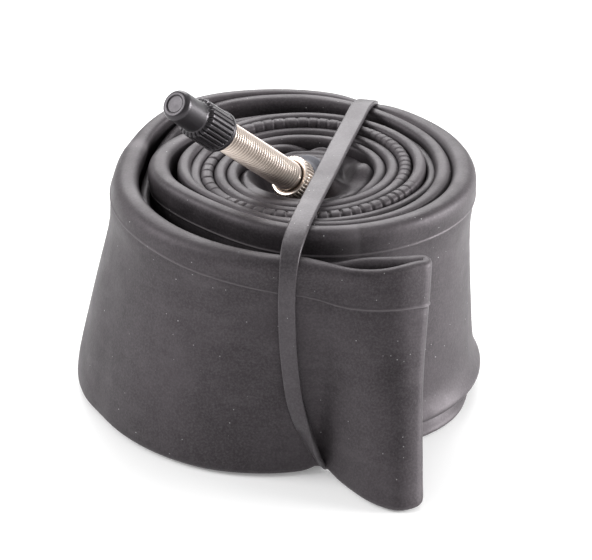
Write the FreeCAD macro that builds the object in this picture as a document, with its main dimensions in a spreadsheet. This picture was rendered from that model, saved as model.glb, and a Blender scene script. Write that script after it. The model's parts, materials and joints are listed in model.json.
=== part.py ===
import FreeCAD, Part
import math
import os
import Sketcher

# A bicycle inner tube, pressed flat, doubled, rolled up from its valve and held by a rubber band.
# The roll stands on its flat lower edge. The origin is the centre of that edge, +Z runs up the
# roll's axis, and -Y is the front, where the tube's outer end leaves the roll as a flap.
# The valve's own frame has its axis as Z, with zero on the tube's outer face at the rubber foot.

os.makedirs("parts", exist_ok=True)
doc = FreeCAD.newDocument("InnerTube")

SIZES = [
    # the flattened tube and its roll
    ("tube_width", 47.0),
    ("strip_thickness", 2.0),
    ("roll_centre_x", 1.75),
    ("roll_centre_y", 1.75),
    ("first_layer_radius", 11.2),
    ("layer_pitch_core", 2.69),
    ("layer_pitch_growth", 0.0508),
    ("roll_turns", 3.75),
    ("flap_run", 21.0),
    ("flap_splay", 13.5),
    ("wrap_flare", 7.0),
    ("flare_start_turn", 3.25),
    ("core_fill_radius", 10.7),
    ("core_fill_height", 32.0),
    ("seat_radius", 6.6),
    ("seat_depth", 14.0),
    # where the valve stands and how it leans
    ("valve_foot_x", 1.46),
    ("valve_foot_y", 3.1),
    ("valve_foot_z", 41.7),
    ("valve_lean", 50.4),
    ("valve_bearing", 228.7),
    # rubber foot
    ("foot_low", 0.0),
    ("foot_radius", 6.0),
    ("foot_rim_top", 0.7),
    ("foot_collar_radius", 4.2),
    ("foot_top", 2.1),
    # stem: the plain root is the blank's size, smaller than the thread rolled on it
    ("stem_radius", 2.75),
    ("thread_radius", 2.97),
    ("thread_low", 5.4),
    ("neck_radius", 2.7),
    ("neck_low", 30.2),
    ("stem_low", 0.4),
    ("stem_flange_radius", 4.0),
    ("stem_flange_top", 1.2),
    ("stem_top", 32.0),
    ("stem_chamfer", 0.3),
    ("air_bore_radius", 1.3),
    ("air_bore_top", 14.0),
    ("chamber_radius", 1.95),
    ("core_seat", 26.0),
    ("core_thread_bore", 2.25),
    # rim nut
    ("nut_radius", 4.3),
    ("nut_bore", 3.05),
    ("nut_low", 2.2),
    ("nut_top", 5.2),
    ("nut_chamfer", 0.4),
    ("nut_knurl_count", 36),
    ("nut_knurl_radius", 0.22),
    # valve core
    ("core_waist_radius", 1.55),
    ("core_waist_low", 20.0),
    ("core_screw_radius", 2.2),
    ("core_screw_low", 26.6),
    ("core_head_low", 32.1),
    ("core_head_radius", 2.6),
    ("core_top", 38.0),
    ("core_bore", 1.25),
    ("core_guide_bore", 1.0),
    ("core_guide_low", 36.6),
    ("gasket_bore", 1.6),
    ("gasket_radius", 2.18),
    ("gasket_low", 26.05),
    ("gasket_top", 26.55),
    # pin, its seal and its nut
    ("pin_radius", 0.8),
    ("pin_low", 17.9),
    ("pin_thread_radius", 0.95),
    ("pin_thread_low", 37.0),
    ("pin_head_low", 43.7),
    ("pin_head_radius", 1.2),
    ("pin_top", 44.3),
    ("cup_low", 18.0),
    ("cup_floor", 18.5),
    ("cup_top", 19.2),
    ("cup_radius", 1.7),
    ("cup_inner_radius", 1.45),
    ("pin_fit_bore", 0.83),
    ("seal_low", 18.53),
    ("seal_top", 19.95),
    ("seal_radius", 1.42),
    ("lock_nut_low", 41.4),
    ("lock_nut_top", 43.6),
    ("lock_nut_radius", 2.15),
    ("lock_nut_bore", 1.0),
    ("lock_nut_knurl_count", 18),
    ("lock_nut_knurl_radius", 0.14),
    # cap
    ("cap_low", 30.4),
    ("cap_shoulder", 38.6),
    ("cap_top", 45.5),
    ("cap_skirt_radius", 3.95),
    ("cap_nose_radius", 2.95),
    ("cap_mouth_radius", 3.12),
    ("cap_mouth_top", 32.3),
    ("cap_thread_radius", 2.65),
    ("cap_thread_top", 38.3),
    ("cap_nose_bore", 2.4),
    ("cap_roof", 44.6),
    ("cap_chamfer", 0.45),
    ("cap_collar_height", 1.2),
    ("cap_rib_count", 24),
    ("cap_flute_radius", 0.3),
    # rubber band round the roll, in an upright plane turned a little off the fore-and-aft line
    ("band_width", 3.4),
    ("band_thickness", 1.0),
    ("band_bearing", 13.0),
    ("band_offset", 6.2),
    ("band_front", 36.6),
    ("band_back", 37.1),
    ("band_top", 47.08),
    ("band_notch_depth", 1.25),
    ("band_notch_gap", 0.2),
]

sheet = doc.addObject("Spreadsheet::Sheet", "Sizes")
for row, (name, value) in enumerate(SIZES, start=1):
    sheet.set(f"A{row}", name)
    sheet.set(f"B{row}", str(value))
    sheet.setAlias(f"B{row}", name)
doc.recompute()


def size(name):
    """One driving dimension, read from the sheet."""
    return float(sheet.get(name))


def roll_centre():
    """The axis that the tube is wound about, set so that the wound roll sits over the origin."""
    return FreeCAD.Vector(size("roll_centre_x"), size("roll_centre_y"), 0)


def valve_placement():
    """Place the valve's own frame: its foot on the tube, its axis leaning towards the bearing."""
    turn = FreeCAD.Rotation(FreeCAD.Vector(0, 0, 1), size("valve_bearing"))
    lean = FreeCAD.Rotation(FreeCAD.Vector(0, 1, 0), size("valve_lean"))
    foot = FreeCAD.Vector(size("valve_foot_x"), size("valve_foot_y"), size("valve_foot_z"))
    return FreeCAD.Placement(foot, turn.multiply(lean))


def origin_plane(body, role):
    """The named plane of a body's own origin."""
    return next(item for item in body.Origin.OriginFeatures if item.Role == role)


def bind(sketch, kind, geometry, point, expression, value):
    """Hold one coordinate of a sketch point at a sheet expression."""
    index = sketch.addConstraint(Sketcher.Constraint(kind, -1, 1, geometry, point, value))
    sketch.setExpression(f"Constraints[{index}]", expression)


def sheet_expression(text):
    """Turn plain size names joined by + or - into a sheet expression and its value."""
    words = text.replace("+", " + ").replace("-", " - ").split()
    bound = [word if word in "+-" else f"Sizes.{word}" for word in words]
    total = 0.0
    sign = 1.0
    for word in words:
        if word in "+-":
            sign = -1.0 if word == "-" else 1.0
        else:
            total += sign * size(word)
    return " ".join(bound), total


def half_section(body, name, corners):
    """Sketch a closed half-section: each corner is a (radius, height) pair of size names."""
    sketch = body.newObject("Sketcher::SketchObject", name)
    sketch.AttachmentSupport = [(origin_plane(body, "XZ_Plane"), "")]
    sketch.MapMode = "FlatFace"
    spots = []
    for radius, height in corners:
        across = sheet_expression(radius) if radius else (None, 0.0)
        along = sheet_expression(height)
        spots.append((across, along))
    count = len(spots)
    for index, (across, along) in enumerate(spots):
        next_across, next_along = spots[(index + 1) % count]
        start = FreeCAD.Vector(across[1], along[1], 0)
        finish = FreeCAD.Vector(next_across[1], next_along[1], 0)
        sketch.addGeometry(Part.LineSegment(start, finish), False)
    for index in range(count):
        sketch.addConstraint(Sketcher.Constraint("Coincident", index, 2, (index + 1) % count, 1))
    for index, (across, along) in enumerate(spots):
        if across[0] is None:
            sketch.addConstraint(Sketcher.Constraint("PointOnObject", index, 1, -2))
        else:
            bind(sketch, "DistanceX", index, 1, across[0], across[1])
        bind(sketch, "DistanceY", index, 1, along[0], along[1])
    return sketch


def turned_body(name, corners):
    """A turned piece: a half-section revolved about the valve's axis."""
    body = doc.addObject("PartDesign::Body", name)
    body.Label = name
    sketch = half_section(body, f"{name}_section", corners)
    turned = body.newObject("PartDesign::Revolution", f"{name}_turned")
    turned.Profile = sketch
    turned.ReferenceAxis = (sketch, ["V_Axis"])
    turned.Angle = 360.0
    sketch.Visibility = False
    body.Placement = valve_placement()
    doc.recompute()
    return body


def cut_grip_flutes(body, rim_radius, flute_radius, low, top, count):
    """Cut round-bottomed flutes along the outside of a turned piece, evenly round its axis."""
    before = body.Shape.Volume
    sketch = body.newObject("Sketcher::SketchObject", f"{body.Name}_flute")
    sketch.AttachmentSupport = [(origin_plane(body, "XY_Plane"), "")]
    sketch.MapMode = "FlatFace"
    low_bound, low_value = sheet_expression(low)
    sketch.AttachmentOffset = FreeCAD.Placement(
        FreeCAD.Vector(0, 0, low_value), FreeCAD.Rotation()
    )
    sketch.setExpression("AttachmentOffset.Base.z", low_bound)
    centre = FreeCAD.Vector(size(rim_radius), 0, 0)
    circle = Part.Circle(centre, FreeCAD.Vector(0, 0, 1), size(flute_radius))
    sketch.addGeometry(circle, False)
    sketch.addConstraint(Sketcher.Constraint("PointOnObject", 0, 3, -1))
    bind(sketch, "DistanceX", 0, 3, f"Sizes.{rim_radius}", size(rim_radius))
    radius_index = sketch.addConstraint(Sketcher.Constraint("Radius", 0, size(flute_radius)))
    sketch.setExpression(f"Constraints[{radius_index}]", f"Sizes.{flute_radius}")
    pocket = body.newObject("PartDesign::Pocket", f"{body.Name}_flute_cut")
    pocket.Profile = sketch
    pocket.Reversed = True
    top_bound, top_value = sheet_expression(f"{top}-{low}")
    pocket.Length = top_value
    pocket.setExpression("Length", top_bound)
    sketch.Visibility = False
    doc.recompute()
    pattern = body.newObject("PartDesign::PolarPattern", f"{body.Name}_flutes")
    pattern.Originals = [pocket]
    pattern.Axis = (sketch, ["N_Axis"])
    pattern.Angle = 360.0
    pattern.Occurrences = int(size(count))
    pattern.setExpression("Occurrences", f"Sizes.{count}")
    body.Tip = pattern
    doc.recompute()
    if body.Shape.Volume >= before:
        raise RuntimeError(f"{body.Name}: the flutes cut nothing")


# ---- the rolled tube ------------------------------------------------------------------------

POINTS_PER_TURN = 24


def layer_radius(layer):
    """Middle radius of a layer, counted outwards from the core: the winding loosens outwards."""
    first = size("first_layer_radius")
    pitch = size("layer_pitch_core")
    growth = size("layer_pitch_growth")
    return first + pitch * layer + growth * layer * layer


def wrap_flare(turn, low_edge):
    """How far the loose last wrap swings out at its low edge: nothing at its start or its end."""
    start = size("flare_start_turn")
    if not low_edge or turn < start:
        return 0.0
    share = (turn - start) / (size("roll_turns") - start)
    return size("wrap_flare") * math.sin(math.pi * share) ** 2


def strip_face(layer_offset, face_offset, low_edge):
    """Points on one face of one of the two strips, from the core out to where the flap leaves.

    Each turn lays both strips, so a strip moves out by two layers a turn.
    """
    steps = int(round(size("roll_turns") * POINTS_PER_TURN))
    centre = roll_centre()
    points = []
    for step in range(steps + 1):
        turn = step / POINTS_PER_TURN
        angle = 2 * math.pi * turn
        radius = layer_radius(2 * turn + layer_offset) + face_offset + wrap_flare(turn, low_edge)
        outward = FreeCAD.Vector(math.cos(angle), math.sin(angle), 0)
        points.append(centre + outward * radius)
    return points


def spline_edge(points):
    """One smooth edge through a row of points."""
    curve = Part.BSplineCurve()
    curve.interpolate(points)
    return curve.toShape()


def fold_edge(start, finish, bulge_direction):
    """A half-round fold from one strip to the other, bulging the given way."""
    middle = (start + finish) * 0.5
    half = (finish - start).Length / 2
    return Part.Arc(start, middle + bulge_direction * half, finish).toShape()


def strip_loop(inner_offset, outer_offset, low_edge):
    """The closed line of one side of the doubled strip, at its low or its high edge.

    It runs from the core fold out along one strip, round the flap's fold and back along the other.
    """
    inner = strip_face(0, inner_offset, low_edge)
    outer = strip_face(1, outer_offset, low_edge)
    splay = size("flap_splay") if low_edge else 0.0
    run = FreeCAD.Vector(size("flap_run"), -splay, 0)
    level = FreeCAD.Vector(0, 0, 0 if low_edge else size("tube_width"))
    inner_end = inner[-1] + run
    outer_end = outer[-1] + run
    edges = [
        spline_edge(inner),
        Part.makeLine(inner[-1], inner_end),
        fold_edge(inner_end, outer_end, FreeCAD.Vector(1, 0, 0)),
        Part.makeLine(outer_end, outer[-1]),
        spline_edge(outer),
        fold_edge(outer[0], inner[0], FreeCAD.Vector(0, -1, 0)),
    ]
    for edge in edges:
        edge.translate(level)
    return edges


def edge_face(outline, pocket):
    """The flat face of the strip at its low or its high edge."""
    whole = Part.Face(Part.Wire(Part.__sortEdges__(outline)))
    hollow = Part.Face(Part.Wire(Part.__sortEdges__(pocket)))
    return whole.cut(hollow).Faces[0]


def roll_solid():
    """The doubled, wound strip: ruled walls between its low edge and its high edge."""
    half = size("strip_thickness") / 2
    low_outline = strip_loop(-half, half, True)
    high_outline = strip_loop(-half, half, False)
    low_pocket = strip_loop(half, -half, True)
    high_pocket = strip_loop(half, -half, False)
    faces = [edge_face(low_outline, low_pocket), edge_face(high_outline, high_pocket)]
    for low, high in zip(low_outline + low_pocket, high_outline + high_pocket):
        faces.append(Part.makeRuledSurface(low, high))
    shell = Part.makeShell(faces)
    shell.sewShape()
    solid = Part.makeSolid(shell)
    solid.fix(0.001, 0.001, 0.001)
    return solid


def core_fill():
    """The bunched innermost fold: it fills the core and rises to the seat square to the valve."""
    radius = size("core_fill_radius")
    low_fill = Part.makeCylinder(radius, size("core_fill_height"), roll_centre())
    column = Part.makeCylinder(radius, size("tube_width"), roll_centre())
    seat = Part.makeCylinder(
        size("seat_radius"), size("seat_depth"), FreeCAD.Vector(0, 0, -size("seat_depth"))
    )
    seat.Placement = valve_placement()
    return low_fill.fuse(seat.common(column))


def band_outline(grow):
    """Upright outline of the band round the roll, grown outwards by the given amount."""
    front = size("band_front") + grow
    back = size("band_back") + grow
    top = size("band_top") + grow
    low = size("band_notch_depth") - grow
    corners = [
        FreeCAD.Vector(-front, 0, low),
        FreeCAD.Vector(back, 0, low),
        FreeCAD.Vector(back, 0, top),
        FreeCAD.Vector(-front, 0, top),
    ]
    return Part.Face(Part.makePolygon(corners + corners[:1]))


def band_placement():
    """Turn the band's upright plane off the fore-and-aft line and move it beside the valve."""
    turn = FreeCAD.Rotation(FreeCAD.Vector(0, 0, 1), 90.0 - size("band_bearing"))
    offset = turn.multVec(FreeCAD.Vector(0, -size("band_offset"), 0))
    return FreeCAD.Placement(offset, turn)


def band_notch():
    """The dent that the stretched band presses into the roll's lower edge."""
    gap = size("band_notch_gap")
    wide = size("band_width") + 2 * gap
    long = size("band_front") + size("band_back") + 8 * gap
    below = size("band_thickness")
    notch = Part.makeBox(long, wide, size("band_notch_depth") + below)
    notch.translate(FreeCAD.Vector(-size("band_front") - 4 * gap, -wide / 2, -below))
    notch.Placement = band_placement().multiply(notch.Placement)
    return notch


def make_tube_body():
    """The whole tube as one rubber solid, its two walls pressed together."""
    tube = doc.addObject("Part::Feature", "tube_body")
    tube.Label = "tube_body"
    tube.Shape = roll_solid().fuse(core_fill()).cut(band_notch()).removeSplitter()
    return tube


def make_rubber_band():
    """The flat rubber band, a loop of even thickness round the roll."""
    band = doc.addObject("Part::Feature", "rubber_band")
    band.Label = "rubber_band"
    wide = size("band_width")
    loop = band_outline(size("band_thickness")).cut(band_outline(0.0))
    solid = loop.extrude(FreeCAD.Vector(0, wide, 0))
    solid.translate(FreeCAD.Vector(0, -wide / 2, 0))
    corners = [edge for edge in solid.Edges if abs(edge.tangentAt(edge.FirstParameter).y) > 0.99]
    outer_back = size("band_back") + size("band_thickness")
    outer_front = size("band_front") + size("band_thickness")
    tips = (outer_back, -outer_front)
    outside = [edge for edge in corners if min(abs(edge.CenterOfMass.x - tip) for tip in tips) < 0.01]
    band.Shape = solid.makeFillet(0.9 * size("band_thickness"), outside)
    band.Placement = band_placement()
    return band


# ---- the valve ------------------------------------------------------------------------------


def make_valve_foot():
    """Rubber foot round the stem's flange, with a thin rim bonded to the tube."""
    return turned_body("valve_foot_patch", [
        ("stem_flange_radius", "stem_low"),
        ("stem_flange_radius", "stem_flange_top"),
        ("stem_radius", "stem_flange_top"),
        ("stem_radius", "foot_top"),
        ("foot_collar_radius", "foot_top"),
        ("foot_radius", "foot_rim_top"),
        ("foot_radius", "foot_low"),
        ("stem_radius", "foot_low"),
        ("stem_radius", "stem_low"),
    ])


def make_valve_stem():
    """Brass stem: foot flange, plain root, outer thread, neck, air bore, chamber and core thread."""
    return turned_body("valve_stem", [
        ("air_bore_radius", "stem_low"),
        ("stem_flange_radius", "stem_low"),
        ("stem_flange_radius", "stem_flange_top"),
        ("stem_radius", "stem_flange_top"),
        ("stem_radius", "thread_low"),
        ("thread_radius", "thread_low"),
        ("thread_radius", "neck_low"),
        ("neck_radius", "neck_low"),
        ("neck_radius", "stem_top-stem_chamfer"),
        ("neck_radius-stem_chamfer", "stem_top"),
        ("core_thread_bore", "stem_top"),
        ("core_thread_bore", "core_seat"),
        ("chamber_radius", "core_seat"),
        ("chamber_radius", "air_bore_top"),
        ("air_bore_radius", "air_bore_top"),
    ])


def make_rim_nut():
    """Round nut that clamps the stem to the rim, knurled round its edge."""
    body = turned_body("rim_nut", [
        ("nut_bore", "nut_low"),
        ("nut_radius-nut_chamfer", "nut_low"),
        ("nut_radius", "nut_low+nut_chamfer"),
        ("nut_radius", "nut_top-nut_chamfer"),
        ("nut_radius-nut_chamfer", "nut_top"),
        ("nut_bore", "nut_top"),
    ])
    cut_grip_flutes(body, "nut_radius", "nut_knurl_radius", "nut_low", "nut_top", "nut_knurl_count")
    return body


def make_core_body():
    """Core: a waist, the part screwed into the stem, and the head with the pump and cap thread."""
    return turned_body("core_body", [
        ("core_bore", "core_waist_low"),
        ("core_waist_radius", "core_waist_low"),
        ("core_waist_radius", "core_screw_low"),
        ("core_screw_radius", "core_screw_low"),
        ("core_screw_radius", "core_head_low"),
        ("core_head_radius", "core_head_low"),
        ("core_head_radius", "core_top-stem_chamfer"),
        ("core_head_radius-stem_chamfer", "core_top"),
        ("core_guide_bore", "core_top"),
        ("core_guide_bore", "core_guide_low"),
        ("core_bore", "core_guide_low"),
    ])


def make_core_gasket():
    """Washer between the core's shoulder and its seat in the stem."""
    return turned_body("core_gasket", [
        ("gasket_bore", "gasket_low"),
        ("gasket_radius", "gasket_low"),
        ("gasket_radius", "gasket_top"),
        ("gasket_bore", "gasket_top"),
    ])


def make_valve_pin():
    """Needle through the core: a plain shank, a threaded end and a peened tip."""
    return turned_body("valve_pin", [
        ("", "pin_low"),
        ("pin_radius", "pin_low"),
        ("pin_radius", "pin_thread_low"),
        ("pin_thread_radius", "pin_thread_low"),
        ("pin_thread_radius", "pin_head_low"),
        ("pin_head_radius", "pin_head_low"),
        ("pin_thread_radius", "pin_top"),
        ("", "pin_top"),
    ])


def make_seal_cup():
    """Cup crimped on the pin's inner end, which holds the seal."""
    return turned_body("seal_cup", [
        ("pin_fit_bore", "cup_low"),
        ("cup_radius", "cup_low"),
        ("cup_radius", "cup_top"),
        ("cup_inner_radius", "cup_top"),
        ("cup_inner_radius", "cup_floor"),
        ("pin_fit_bore", "cup_floor"),
    ])


def make_pin_seal():
    """Rubber washer in the cup: it closes against the core's inner end."""
    return turned_body("pin_seal", [
        ("pin_fit_bore", "seal_low"),
        ("seal_radius", "seal_low"),
        ("seal_radius", "seal_top"),
        ("pin_fit_bore", "seal_top"),
    ])


def make_lock_nut():
    """Small knurled nut on the pin's outer end."""
    body = turned_body("lock_nut", [
        ("lock_nut_bore", "lock_nut_low"),
        ("lock_nut_radius", "lock_nut_low"),
        ("lock_nut_radius", "lock_nut_top"),
        ("lock_nut_bore", "lock_nut_top"),
    ])
    cut_grip_flutes(
        body, "lock_nut_radius", "lock_nut_knurl_radius",
        "lock_nut_low", "lock_nut_top", "lock_nut_knurl_count",
    )
    return body


def make_valve_cap():
    """Plastic cap: a narrow nose over the pin and a ribbed skirt over the pump thread."""
    body = turned_body("valve_cap", [
        ("", "cap_roof"),
        ("cap_nose_bore", "cap_roof"),
        ("cap_nose_bore", "cap_thread_top"),
        ("cap_thread_radius", "cap_thread_top"),
        ("cap_thread_radius", "cap_mouth_top"),
        ("cap_mouth_radius", "cap_mouth_top"),
        ("cap_mouth_radius", "cap_low"),
        ("cap_skirt_radius", "cap_low"),
        ("cap_skirt_radius", "cap_shoulder-cap_chamfer"),
        ("cap_skirt_radius-cap_chamfer", "cap_shoulder"),
        ("cap_nose_radius", "cap_shoulder"),
        ("cap_nose_radius", "cap_top-cap_chamfer"),
        ("cap_nose_radius-cap_chamfer", "cap_top"),
        ("", "cap_top"),
    ])
    cut_grip_flutes(
        body, "cap_skirt_radius", "cap_flute_radius",
        "cap_low+cap_collar_height", "cap_shoulder", "cap_rib_count",
    )
    return body


pieces = [
    make_tube_body(),
    make_rubber_band(),
    make_valve_foot(),
    make_valve_stem(),
    make_rim_nut(),
    make_core_body(),
    make_core_gasket(),
    make_valve_pin(),
    make_seal_cup(),
    make_pin_seal(),
    make_lock_nut(),
    make_valve_cap(),
]
doc.recompute()

for item in doc.Objects:
    if "Invalid" in item.State or "Error" in item.State:
        raise RuntimeError(f"{item.Name} failed to compute: {item.State}")
for piece in pieces:
    if piece.Shape.isNull() or not piece.Shape.isValid():
        raise RuntimeError(f"{piece.Label} has no valid shape")
    print(piece.Label, len(piece.Shape.Solids), round(piece.Shape.Volume, 2))
    piece.Shape.exportStep(f"parts/{piece.Label}.step")
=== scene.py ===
import json
import math

import bmesh
import bpy
import numpy as np
from mathutils import Matrix, Vector, noise


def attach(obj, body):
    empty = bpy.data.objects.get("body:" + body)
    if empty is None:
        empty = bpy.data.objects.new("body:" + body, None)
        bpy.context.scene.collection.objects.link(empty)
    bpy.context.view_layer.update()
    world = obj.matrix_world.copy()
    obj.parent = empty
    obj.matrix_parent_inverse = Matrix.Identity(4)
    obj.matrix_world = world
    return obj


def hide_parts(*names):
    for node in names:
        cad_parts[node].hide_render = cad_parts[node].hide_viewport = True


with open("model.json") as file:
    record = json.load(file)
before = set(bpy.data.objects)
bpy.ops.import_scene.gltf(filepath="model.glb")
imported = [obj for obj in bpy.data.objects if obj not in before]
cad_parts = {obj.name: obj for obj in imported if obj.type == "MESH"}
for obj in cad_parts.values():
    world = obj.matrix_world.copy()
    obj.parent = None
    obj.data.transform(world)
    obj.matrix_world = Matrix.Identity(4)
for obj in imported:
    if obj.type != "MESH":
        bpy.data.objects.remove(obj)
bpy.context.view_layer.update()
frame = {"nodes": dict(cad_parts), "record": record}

MM = 0.001
ROLLED = "rolled_tube"

# ---- the valve's own axis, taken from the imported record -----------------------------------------

STEM_MOUNT = next(m for m in frame["record"]["mounts"] if m["name"] == "valve_stem_in_rim")
# how far up the stem, from the rubber's outside, the record puts that mount
STEM_MOUNT_HEIGHT = 17.8
VALVE_AXIS = Vector(STEM_MOUNT["axis"]).normalized()
VALVE_FOOT = Vector(STEM_MOUNT["pos_m"]) - VALVE_AXIS * STEM_MOUNT_HEIGHT * MM
VALVE_MATRIX = Matrix.Translation(VALVE_FOOT) @ VALVE_AXIS.to_track_quat("Z", "Y").to_matrix().to_4x4()

# ---- mesh helpers -------------------------------------------------------------------------------


def grid_object(name, points, wrap_rows, wrap_columns, matrix=None, wear=None):
    """A smooth quad mesh from a grid of points, in metres, closed on itself where asked.

    Wear and painted light is one value a point, from 0 to 1. Rubber is paler by it: from rubbing,
    from pale marks and from a painted highlight along the crests. Metal and plastic are darker by it,
    as there it tells how far down a groove is and so paints shade into the grooves.
    """
    rows, columns = points.shape[:2]
    row_index = np.arange(rows if wrap_rows else rows - 1)
    column_index = np.arange(columns if wrap_columns else columns - 1)
    first = row_index[:, None] * columns + column_index[None, :]
    right = row_index[:, None] * columns + (column_index[None, :] + 1) % columns
    above = ((row_index[:, None] + 1) % rows) * columns + column_index[None, :]
    across = ((row_index[:, None] + 1) % rows) * columns + (column_index[None, :] + 1) % columns
    faces = np.stack([first, right, across, above], axis=-1).reshape(-1, 4)
    mesh = bpy.data.meshes.new(name)
    mesh.from_pydata(points.reshape(-1, 3).tolist(), [], faces.tolist())
    if matrix is not None:
        mesh.transform(matrix)
    mesh.validate()
    mesh.update()
    for polygon in mesh.polygons:
        polygon.use_smooth = True
    layer = mesh.attributes.new("wear", "FLOAT", "POINT")
    if wear is not None:
        layer.data.foreach_set("value", wear.astype(np.float32).ravel())
    piece = bpy.data.objects.new(name, mesh)
    bpy.context.scene.collection.objects.link(piece)
    return piece


def smooth_knots(knots, places):
    """A smooth line through (place, value) knots that never swings past them."""
    spots, values = np.array(knots, dtype=float).T
    step = np.diff(spots)
    slope = np.diff(values) / step
    tangent = np.concatenate([[slope[0]], np.zeros(len(spots) - 2), [slope[-1]]])
    for index in range(1, len(spots) - 1):
        before, after = slope[index - 1], slope[index]
        if before * after > 0:
            tangent[index] = 2 * before * after / (before + after)
    places = np.clip(np.asarray(places, dtype=float), spots[0], spots[-1])
    index = np.clip(np.searchsorted(spots, places, side="right") - 1, 0, len(spots) - 2)
    u = (places - spots[index]) / step[index]
    rise = values[index + 1] - values[index]
    start = tangent[index] * step[index]
    finish = tangent[index + 1] * step[index]
    square = 3 * rise - 2 * start - finish
    cube = start + finish - 2 * rise
    return values[index] + u * start + u ** 2 * square + u ** 3 * cube


def bump_at(places, centre, spread):
    """A smooth hump of height 1."""
    return np.exp(-(((places - centre) / spread) ** 2))


def seeded_wave(places, seed, scale):
    """Smooth noise along a line, about -1 to 1, the same every run."""
    return np.array([noise.noise(Vector((place * scale, seed * 7.31, 0.5))) for place in places])


# ---- the rolled tube ----------------------------------------------------------------------------
# A place along the winding is a number of turns from the core fold, which lies at +X.
# The inner strip and the outer strip of the doubled tube run side by side for ROLL_TURNS turns,
# then leave the roll at the front as a flap, whose end is a fold.

FIRST_TURN = -0.15
ROLL_TURNS = 3.75
ROLL_CENTRE = np.array([2.2, 1.9])
# the roll is a little shallower than it is wide
DEPTH_SHARE = 0.955
TUBE_WIDTH = 47.0
# half the thickness of a strip, which is two walls of rubber pressed together
WALL_PAIR_HALF = 1.0
LOW_EDGE = 0.35
# radius of the bunched middle, what each layer adds to it and what the loose outer layers add more
CORE_RADIUS = 11.9
LAYER_PITCH = 2.4
LOOSE_EXTRA_PITCH = 1.26
LOOSE_FROM_LAYER = 5
LOOSE_SHARPNESS = 2.5
# (turn, spread, push outwards) where the wraps bulge or are pressed in
BULGES = [
    (1.27, 0.14, 1.2), (2.27, 0.13, 2.2), (2.47, 0.07, 1.2), (2.64, 0.09, -2.9), (3.03, 0.09, -1.0),
    (3.25, 0.06, 1.2), (3.355, 0.08, 3.3), (3.48, 0.06, -0.7),
]

# The lists below are (turn, millimetres) knots along a strip.
# from the outer strip's middle in to the inner strip's
STRIP_GAP = [
    (0, 3.2), (0.2, 2.4), (2.1, 2.4), (2.28, 3.1), (2.4, 4.5), (2.48, 4.9), (2.58, 3.7), (2.7, 3.1),
    (2.82, 3.0), (2.95, 4.0), (3.1, 3.7), (3.2, 2.4), (3.32, 2.4), (3.42, 3.3), (3.75, 2.5),
]
# how much wider the strip's low edge runs than its high edge
OUTER_FLARE = [
    (0, 0), (1.9, 0.2), (2.5, 1.0), (2.58, 3.2), (2.7, 3.2), (2.76, 2.6), (2.86, 4.3), (2.92, 4.15),
    (3.0, 4.0), (3.08, 3.6), (3.2, 3.3), (3.3, 5.0), (3.4, 8.2), (3.5, 10.0), (3.54, 9.0), (3.571, 7.6),
    (3.617, 7.1), (3.67, 6.3), (3.72, 3.9), (3.75, 1.8),
]
INNER_FLARE = [
    (0, 0), (1.9, 0.2), (2.5, 1.5), (2.75, 5.0), (2.9, 7.6), (2.95, 6.6), (3.02, 4.4), (3.15, 2.4),
    (3.5, 3.5), (3.75, 1.5),
]
# height of the high edge above or below the tube's pressed width
OUTER_TOP = [
    (-0.2, -5.0), (-0.12, -2.2), (0.0, -1.2), (0.27, -1.0), (0.5, -1.3), (0.75, -1.3), (0.95, -0.4),
    (1.1, 0.1), (1.32, 0.2), (1.5, -1.2), (1.75, -1.2), (1.9, -1.0), (2.0, -1.5), (2.3, -1.6),
    (2.42, -0.4), (2.52, 0.1), (2.58, 0.6), (2.7, 0.4), (3.1, -0.2), (3.2, 0.3), (3.34, 0.9),
    (3.43, -0.2), (3.5, -0.8), (3.65, -1.8), (3.75, -2.5),
]
INNER_TOP = [
    (-0.2, -9.0), (0.15, -7.0), (0.3, -1.6), (0.5, -1.3), (0.75, -1.3), (1.0, -0.6), (1.27, -0.9),
    (1.5, -1.2), (1.75, -1.1), (1.9, -0.2), (2.0, 0.1), (2.27, -0.4), (2.5, -0.2), (3.15, -0.2),
    (3.25, 0.6), (3.32, 0.4), (3.42, -3.0), (3.5, -5.0), (3.6, -4.6), (3.75, -5.0),
]
TOP_WAVE_LOW = 0.15
TOP_WAVE = 0.3
# radius of the rounded high edge
OUTER_RIM = [
    (-0.2, 1.2), (1.7, 1.25), (1.9, 0.95), (2.3, 1.0), (2.4, 1.9), (2.5, 2.2), (2.58, 1.7), (2.8, 1.9),
    (3.0, 2.4), (3.12, 2.1), (3.2, 1.4), (3.34, 1.5), (3.44, 2.0), (3.462, 2.6), (3.6, 2.6), (3.72, 2.0),
    (3.75, 1.9),
]
INNER_RIM = [
    (-0.2, 1.2), (2.2, 1.25), (2.5, 1.3), (2.58, 0.95), (2.82, 1.0), (3.0, 1.6), (3.14, 1.5),
    (3.25, 2.0), (3.34, 1.6), (3.45, 1.1), (3.75, 1.2),
]
# how far the low edge is lifted off the ground
OUTER_FOOT = [(0, 0), (2.6, 0), (2.8, 3.4), (3.0, 3.4), (3.2, 1.2), (3.4, 0), (3.75, 0)]
# how far the middle of the strip's height bows to the right of its run: out on the inner strip, in on
# the outer strip, which runs the other way round
STEADY_BOW = 0.7
OUTER_BOW = [(0, 0.7), (3.3, 0.7), (3.42, -0.2), (3.52, -0.7), (3.6, -0.4), (3.7, 0.4), (3.75, 0.7)]
# the same to the left, at KICK_HEIGHT above the low edge
KICK_HEIGHT = 6.0
OUTER_KICK = [
    (0, 0), (2.72, 0), (2.88, -1.4), (3.08, -1.4), (3.22, 0),
    (3.38, 0), (3.46, 1.1), (3.58, 1.1), (3.68, 0.4), (3.75, 0),
]
INNER_KICK = [(0, 0), (2.6, 0), (2.8, 2.2), (3.0, 2.2), (3.15, 0), (3.75, 0)]
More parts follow.
